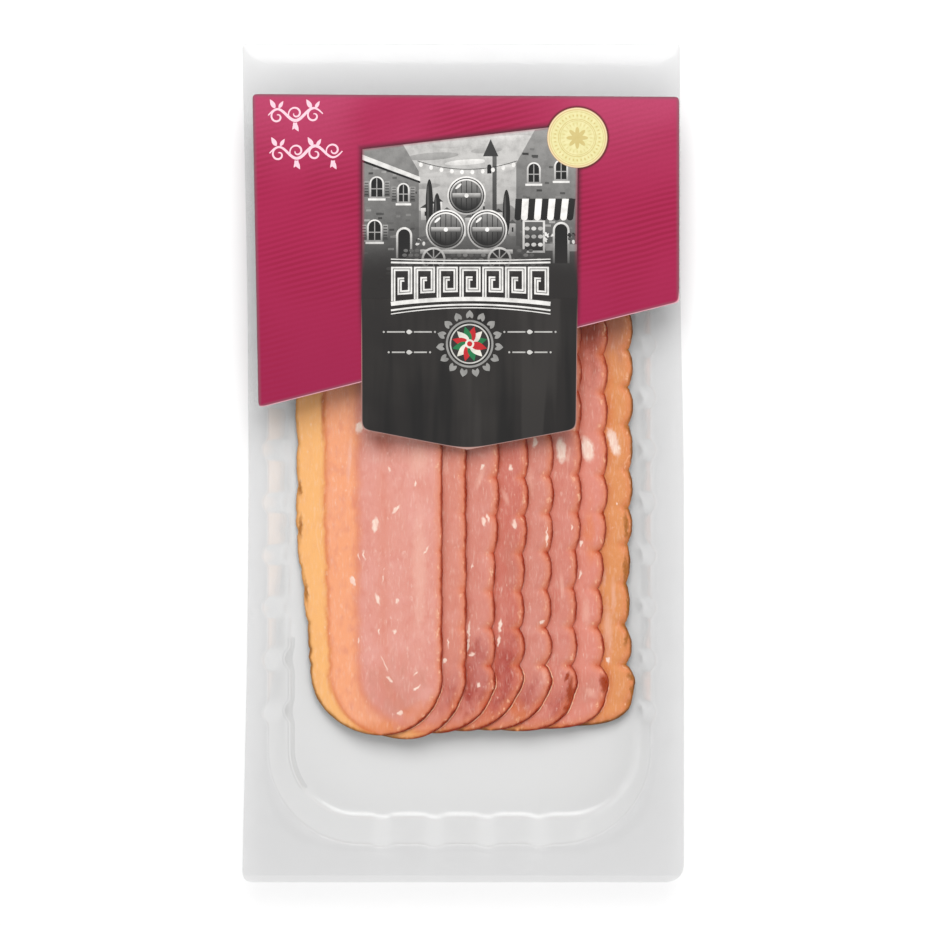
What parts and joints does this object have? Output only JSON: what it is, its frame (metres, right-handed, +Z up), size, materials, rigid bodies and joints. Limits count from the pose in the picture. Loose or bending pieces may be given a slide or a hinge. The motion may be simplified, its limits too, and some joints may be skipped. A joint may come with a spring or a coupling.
{
  "type": "sliced meat pack",
  "caption": "Flat clear tray with fluted walls and a sealed clear lid film, holding thin shingled slices of cured beef under a slanted label.",
  "frame": {"origin": "middle of the footprint, on the underside of the tray's floor", "axes": "+Z up through the lid film and label, +Y along the pack towards the head of the label, +X to the right as the label is seen"},
  "size_m": [0.1262, 0.2394, 0.0147],
  "materials": {
    "clear_tray": "clear thermoformed sheet, glossy",
    "clear_film": "clear sealing film, glossy",
    "beef": "moist thin-sliced cured beef with pale fat flecks and a dark rim",
    "crimson_paper": "crimson coated paper with fine slanted stripes",
    "black_paper": "satin black coated paper with pale print",
    "gold_paper": "pale gold paper seal with embossed rings"
  },
  "bodies": {
    "root": {"tray": "clear_tray", "lid_film": "clear_film", "slice_1": "beef", "slice_2": "beef", "slice_3": "beef", "slice_4": "beef", "slice_5": "beef", "slice_6": "beef", "slice_7": "beef", "slice_8": "beef", "label": "crimson_paper", "shield_panel": "black_paper", "gold_seal": "gold_paper"}
  },
  "joints": []
}
